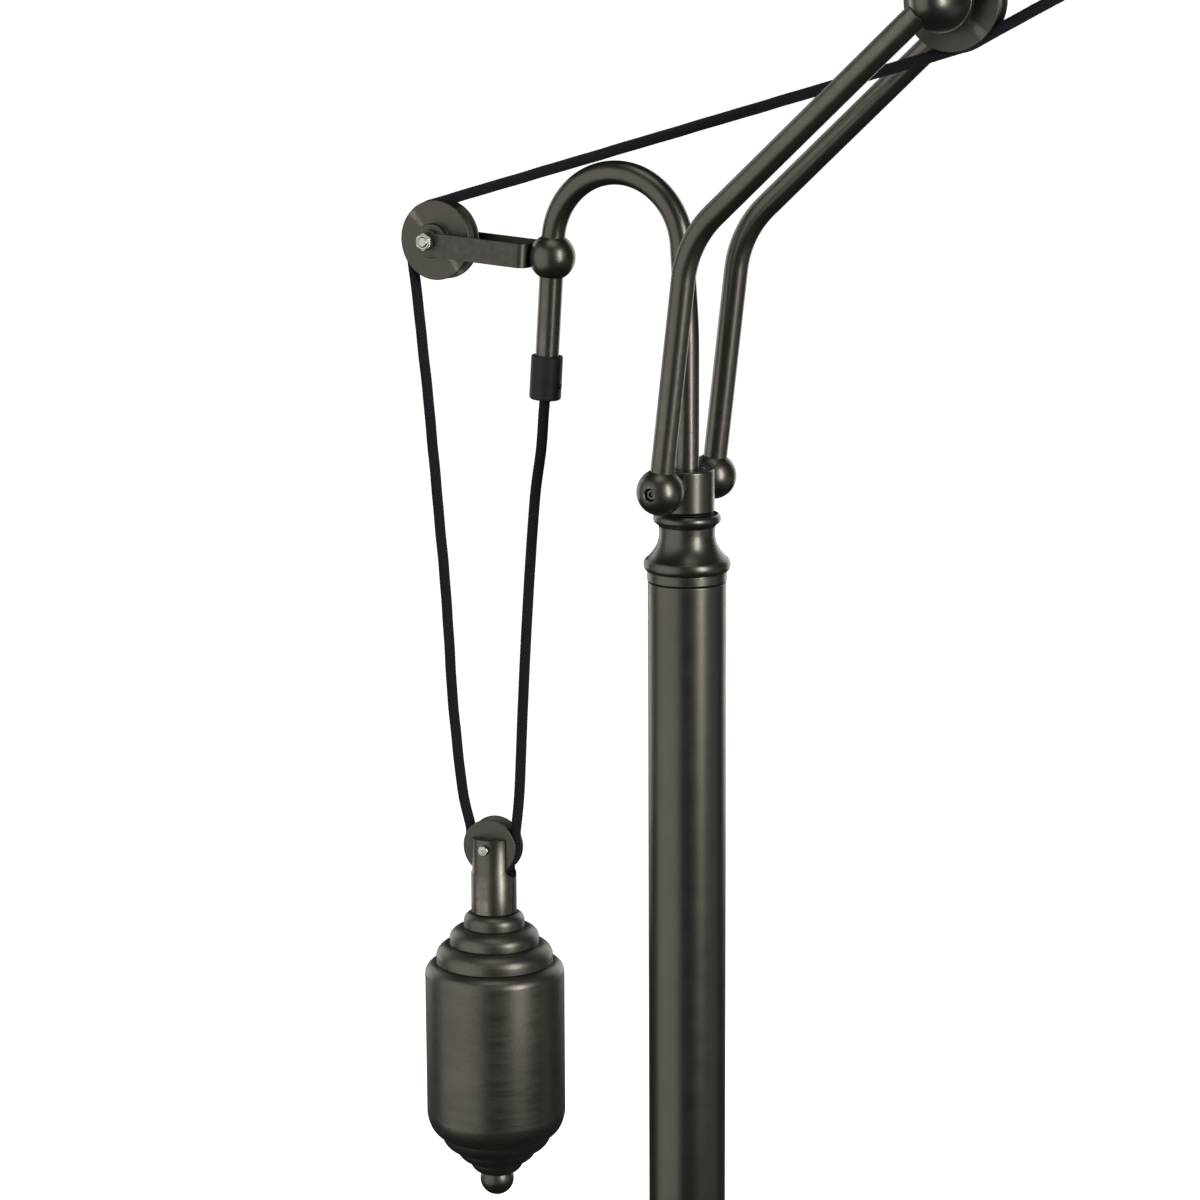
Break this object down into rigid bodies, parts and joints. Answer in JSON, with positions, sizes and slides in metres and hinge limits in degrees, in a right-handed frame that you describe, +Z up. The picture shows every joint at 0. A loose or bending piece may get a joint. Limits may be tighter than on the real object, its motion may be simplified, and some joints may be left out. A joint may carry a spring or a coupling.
{
  "type": "floor lamp",
  "caption": "Pharmacy floor lamp: round base, tall column, double arm and forearm with a dome shade, balanced by a weight that hangs on the lamp's own cord over pulleys.",
  "frame": {"origin": "centre of the underside of the felt pad, where the lamp rests on the floor", "axes": "+Z up along the column, +X the way the arm reaches, +Y to the left of the arm seen from the column; metres"},
  "size_m": [0.7851, 0.292, 1.5738],
  "materials": {
    "bronze": "satin dark bronze lacquer",
    "iron": "raw casting, blacked",
    "steel": "zinc-plated steel",
    "nickel": "bright nickel plate",
    "felt": "dense black felt",
    "black_plastic": "matte black moulding",
    "cord": "black braided cotton cover over a flexible lead",
    "shade_metal": "satin dark bronze outside, white inside",
    "glass": "frosted bulb glass"
  },
  "bodies": {
    "base": {"base_felt_pad": "felt", "base_cover": "bronze", "base_weight": "iron", "cord_inlet_bush": "black_plastic", "tie_nut": "steel", "tie_rod": "steel", "column_foot": "bronze", "column": "bronze", "column_collar": "bronze", "swivel_bolt": "steel", "swivel_washer": "black_plastic", "cord_in_column": "cord"},
    "hub": {"hub": "bronze", "hub_plug": "bronze", "arm_pivot_screw_front": "steel", "arm_pivot_screw_rear": "steel", "pivot_washer_front": "nickel", "pivot_washer_rear": "nickel", "cane_tube": "bronze", "cane_ball": "bronze", "cord_sleeve": "black_plastic", "sleeve_screw": "black_plastic", "pulley_bracket": "bronze", "bracket_screw": "steel", "guide_axle_bolt": "nickel", "guide_lock_nut": "nickel", "cord_from_cane": "cord", "cord_over_guide": "cord"},
    "guide_pulley": {"guide_pulley": "bronze"},
    "cord_run": {"cord_upper_run": "cord"},
    "counterweight": {"counterweight_body": "bronze", "counterweight_finial": "bronze", "weight_yoke": "bronze", "weight_pulley_pin": "nickel", "cord_round_weight_pulley": "cord"},
    "weight_pulley": {"weight_pulley": "bronze"},
    "arm": {"arm_ball_front": "bronze", "arm_ball_rear": "bronze", "arm_tube_front": "bronze", "arm_tube_rear": "bronze", "elbow_dome_front": "bronze", "elbow_dome_rear": "bronze", "elbow_axle": "steel"},
    "elbow_pulley": {"elbow_pulley": "bronze"},
    "forearm": {"forearm_fork": "bronze", "forearm_tube_rear": "bronze", "forearm_tube_front": "bronze", "cord_block": "bronze", "wrist_knuckle_upper": "bronze", "cord_to_forearm": "cord"},
    "wrist_knob": {"wrist_thumb_screw": "bronze"},
    "shade": {"wrist_knuckle_lower": "bronze", "stem_nipple": "steel", "shade_cap": "bronze", "lampholder": "black_plastic", "shade": "shade_metal", "shade_ring": "black_plastic", "bulb": "glass", "cord_in_stem": "cord"},
    "switch": {"switch_knob": "black_plastic"}
  },
  "joints": [
    {"name": "column_swivel", "type": "hinge", "parent": "base", "child": "hub", "pos_m": [0, 0, 1.1466], "axis": [0, 0, 1], "range_deg": [-170, 170]},
    {"name": "arm_lean", "type": "hinge", "parent": "hub", "child": "arm", "pos_m": [0, 0, 1.16], "axis": [0, 1, 0], "range_deg": [-35, 0]},
    {"name": "counterweight_travel", "type": "slide", "parent": "hub", "child": "counterweight", "axis": [0, 0, 1], "range_m": [-0.056, 0], "deforming": ["cord_from_cane", "cord_over_guide"]},
    {"name": "cord_run_swing", "type": "hinge", "parent": "hub", "child": "cord_run", "pos_m": [-0.138, 0, 1.2719], "axis": [0, 1, 0], "range_deg": [-26, 0], "deforming": ["cord_upper_run"]},
    {"name": "guide_pulley_spin", "type": "hinge", "parent": "hub", "child": "guide_pulley", "pos_m": [-0.138, 0, 1.2719], "axis": [0, 1, 0], "range_deg": [-360, 0]},
    {"name": "weight_pulley_spin", "type": "hinge", "parent": "counterweight", "child": "weight_pulley", "pos_m": [-0.1113, 0, 0.9651], "axis": [-0.1045, 0.9945, 0], "range_deg": [-255, 0]},
    {"name": "forearm_tilt", "type": "hinge", "parent": "arm", "child": "forearm", "pos_m": [0.1363, 0, 1.391], "axis": [0, 1, 0], "range_deg": [-35, 10], "deforming": ["cord_to_forearm"]},
    {"name": "elbow_pulley_spin", "type": "hinge", "parent": "arm", "child": "elbow_pulley", "pos_m": [0.1363, 0, 1.391], "axis": [0, 1, 0], "range_deg": [-36, 11]},
    {"name": "shade_tilt", "type": "hinge", "parent": "forearm", "child": "shade", "pos_m": [0.51999, 0, 1.56183], "axis": [0, 1, 0], "range_deg": [-60, 25]},
    {"name": "clamp_knob_turn", "type": "hinge", "parent": "forearm", "child": "wrist_knob", "pos_m": [0.51999, 0, 1.56183], "axis": [0, 1, 0], "range_deg": [0, 180]},
    {"name": "switch_turn", "type": "hinge", "parent": "shade", "child": "switch", "pos_m": [0.53679, 0, 1.49983], "axis": [1, 0, 0], "continuous": true}
  ],
  "couplings": [
    {"joint": "counterweight_travel", "follows": "arm_lean", "m_per_rad": 0.0901},
    {"joint": "cord_run_swing", "follows": "arm_lean", "ratio": 0.7275},
    {"joint": "guide_pulley_spin", "follows": "arm_lean", "ratio": 10.181},
    {"joint": "weight_pulley_spin", "follows": "arm_lean", "ratio": 7.208},
    {"joint": "elbow_pulley_spin", "follows": "forearm_tilt", "ratio": 1}
  ]
}
